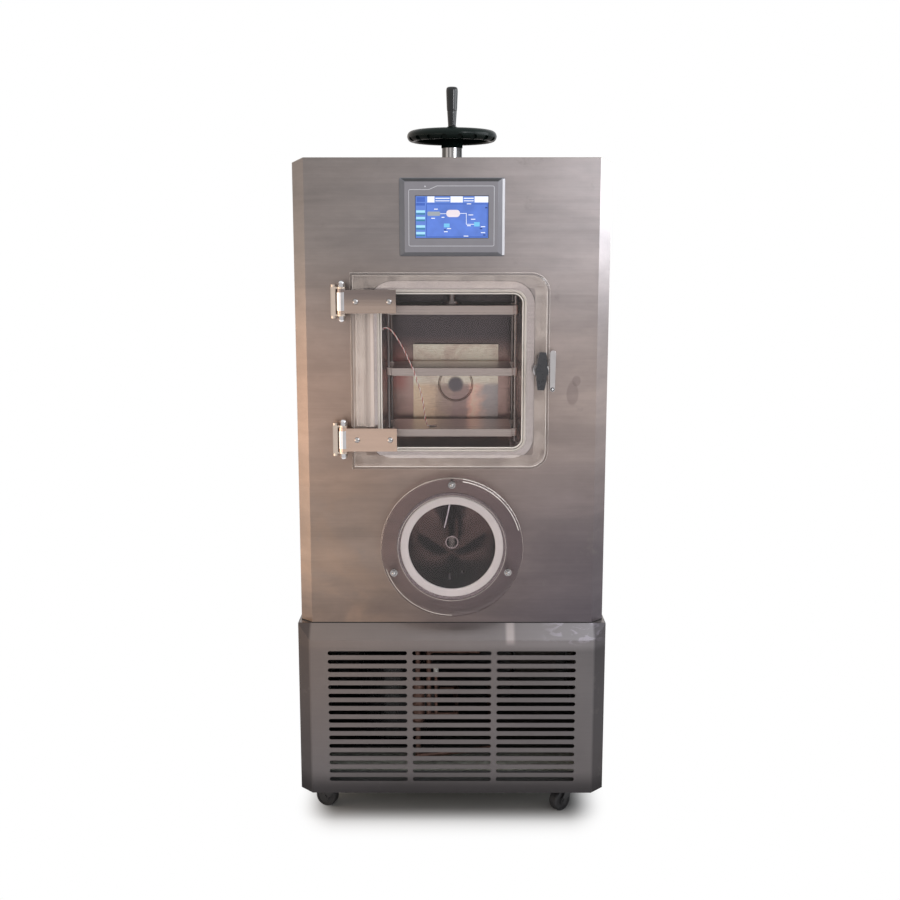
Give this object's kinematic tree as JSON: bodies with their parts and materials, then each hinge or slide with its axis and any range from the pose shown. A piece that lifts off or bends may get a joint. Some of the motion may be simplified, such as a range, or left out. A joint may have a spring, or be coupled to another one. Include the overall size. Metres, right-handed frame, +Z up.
{
  "type": "freeze dryer",
  "caption": "Floor-standing freeze dryer: steel cabinet on casters, clear hinged chamber door, cold trap window, touch panel and a handwheel that lowers a press plate.",
  "frame": {"origin": "middle of the footprint's bounding box, on the floor", "axes": "+Z up, -Y to the front, +X to the viewer's right as one faces the door"},
  "size_m": [0.694, 0.77, 1.643],
  "materials": {
    "brushed_steel": "brushed",
    "frame_steel": "satin",
    "galvanised": "satin",
    "polished_steel": "polished",
    "chrome": "polished",
    "caster_grey": "matte",
    "caster_steel": "satin",
    "bezel": "satin",
    "screen": "gloss",
    "silicone": "satin",
    "white_seal": "matte",
    "shelf_steel": "satin",
    "copper": "satin",
    "foam": "matte",
    "acrylic": "gloss",
    "black_gloss": "gloss",
    "compressor_black": "satin",
    "fins": "matte",
    "black_plastic": "matte",
    "lead": "satin"
  },
  "bodies": {
    "cabinet": {"base_frame": "frame_steel", "base_front_panel": "brushed_steel", "base_side_panels": "brushed_steel", "base_rear_panel": "brushed_steel", "floor_plate": "galvanised", "deck_plate": "galvanised", "cabinet_frame": "frame_steel", "cabinet_front_panel": "brushed_steel", "cabinet_side_panels": "brushed_steel", "cabinet_rear_panel": "brushed_steel", "top_cover": "brushed_steel", "caster_plates": "caster_steel", "touch_panel_bezel": "bezel", "touch_panel_screen": "screen", "chamber_vessel": "polished_steel", "door_gasket": "silicone", "guide_rods": "chrome", "shelf_lower": "shelf_steel", "vapour_baffle": "polished_steel", "vapour_duct": "polished_steel", "trap_vessel": "polished_steel", "trap_flange": "polished_steel", "evaporator_coil": "copper", "trap_insulation": "foam", "trap_seal_ring": "white_seal", "trap_window": "acrylic", "trap_window_bolts": "chrome", "suction_pipe": "polished_steel", "hinge_brackets": "polished_steel", "hinge_pins": "chrome", "door_keeper": "chrome", "press_column": "chrome", "compressor": "compressor_black", "condenser": "fins", "fan_shroud": "black_plastic", "refrigerant_pipes": "copper", "mains_inlet": "black_plastic", "probe_lead": "lead", "probe_tip": "white_seal"},
    "door": {"door_plate": "acrylic", "hinge_straps": "polished_steel", "door_screws": "chrome", "latch_rose": "chrome"},
    "latch": {"latch_knob": "black_gloss", "latch_pawl": "polished_steel"},
    "handwheel": {"handwheel": "black_gloss", "handle_bolt": "chrome"},
    "handle": {"handle_grip": "black_gloss"},
    "press": {"press_plate": "shelf_steel", "press_spindle": "chrome"},
    "shelf": {"shelf_middle": "shelf_steel"},
    "fan": {"fan_rotor": "black_plastic"},
    "swivel_fl": {"caster_fork_fl": "caster_steel"},
    "roller_fl": {"caster_wheel_fl": "caster_grey"},
    "swivel_fr": {"caster_fork_fr": "caster_steel"},
    "roller_fr": {"caster_wheel_fr": "caster_grey"},
    "swivel_rl": {"caster_fork_rl": "caster_steel"},
    "roller_rl": {"caster_wheel_rl": "caster_grey"},
    "swivel_rr": {"caster_fork_rr": "caster_steel"},
    "roller_rr": {"caster_wheel_rr": "caster_grey"}
  },
  "joints": [
    {"name": "door_swing", "type": "hinge", "parent": "cabinet", "child": "door", "pos_m": [-0.235, -0.35, 1.035], "axis": [0, 0, 1], "range_deg": [-110, 0]},
    {"name": "latch_turn", "type": "hinge", "parent": "door", "child": "latch", "pos_m": [0.191, -0.36, 1.04], "axis": [0, 1, 0], "range_deg": [0, 90]},
    {"name": "wheel_turn", "type": "hinge", "parent": "cabinet", "child": "handwheel", "pos_m": [0, -0.138, 1.546], "axis": [0, 0, -1], "range_deg": [0, 3600]},
    {"name": "handle_turn", "type": "hinge", "parent": "handwheel", "child": "handle", "pos_m": [0, -0.222, 1.6], "axis": [0, 0, 1], "continuous": true},
    {"name": "press_slide", "type": "slide", "parent": "cabinet", "child": "press", "axis": [0, 0, -1], "range_m": [0, 0.05]},
    {"name": "shelf_slide", "type": "slide", "parent": "cabinet", "child": "shelf", "axis": [0, 0, -1], "range_m": [0, 0.025]},
    {"name": "fan_spin", "type": "hinge", "parent": "cabinet", "child": "fan", "pos_m": [0, 0.28, 0.215], "axis": [0, 1, 0], "continuous": true},
    {"name": "swivel_turn_fl", "type": "hinge", "parent": "cabinet", "child": "swivel_fl", "pos_m": [-0.271, -0.274, 0.06], "axis": [0, 0, 1], "continuous": true},
    {"name": "roller_spin_fl", "type": "hinge", "parent": "swivel_fl", "child": "roller_fl", "pos_m": [-0.29355, -0.26579, 0.025], "axis": [0.342, 0.9397, 0], "continuous": true},
    {"name": "swivel_turn_fr", "type": "hinge", "parent": "cabinet", "child": "swivel_fr", "pos_m": [0.271, -0.274, 0.06], "axis": [0, 0, 1], "continuous": true},
    {"name": "roller_spin_fr", "type": "hinge", "parent": "swivel_fr", "child": "roller_fr", "pos_m": [0.25261, -0.28943, 0.025], "axis": [-0.6428, 0.766, 0], "continuous": true},
    {"name": "swivel_turn_rl", "type": "hinge", "parent": "cabinet", "child": "swivel_rl", "pos_m": [-0.271, 0.294, 0.06], "axis": [0, 0, 1], "continuous": true},
    {"name": "roller_spin_rl", "type": "hinge", "parent": "swivel_rl", "child": "roller_rl", "pos_m": [-0.295, 0.294, 0.025], "axis": [0, 1, 0], "continuous": true},
    {"name": "swivel_turn_rr", "type": "hinge", "parent": "cabinet", "child": "swivel_rr", "pos_m": [0.271, 0.294, 0.06], "axis": [0, 0, 1], "continuous": true},
    {"name": "roller_spin_rr", "type": "hinge", "parent": "swivel_rr", "child": "roller_rr", "pos_m": [0.247, 0.294, 0.025], "axis": [0, 1, 0], "continuous": true}
  ],
  "couplings": [
    {"joint": "press_slide", "follows": "wheel_turn", "m_per_rad": 0.0007957},
    {"joint": "shelf_slide", "follows": "wheel_turn", "m_per_rad": 0.00039785}
  ]
}
